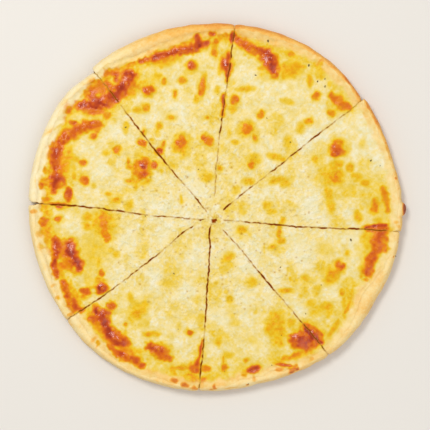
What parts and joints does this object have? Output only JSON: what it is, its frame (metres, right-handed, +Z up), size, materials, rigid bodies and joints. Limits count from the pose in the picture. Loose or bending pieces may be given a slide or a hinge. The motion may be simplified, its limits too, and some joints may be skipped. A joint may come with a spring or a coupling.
{
  "type": "cheese pizza",
  "caption": "Round baked pizza with a raised dough rim and melted, browned cheese, cut into wedge slices that lie together; it rests on its flat underside.",
  "frame": {"origin": "middle of the pizza's outline, on the flat underside that it rests on", "axes": "+Z up, out of the cheese; +X towards the small dark drip on the outside of the rim; +Y at right angles to both"},
  "size_m": [0.3061, 0.298, 0.0147],
  "materials": {
    "crust": "dry, baked and matte",
    "cheese": "melted, slightly oily"
  },
  "bodies": {
    "root": {"dough_1": "crust", "dough_2": "crust", "dough_3": "crust", "dough_4": "crust", "dough_5": "crust", "dough_6": "crust", "dough_7": "crust", "dough_8": "crust", "cheese_1": "cheese", "cheese_2": "cheese", "cheese_3": "cheese", "cheese_4": "cheese", "cheese_5": "cheese", "cheese_6": "cheese", "cheese_7": "cheese", "cheese_8": "cheese"}
  },
  "joints": []
}
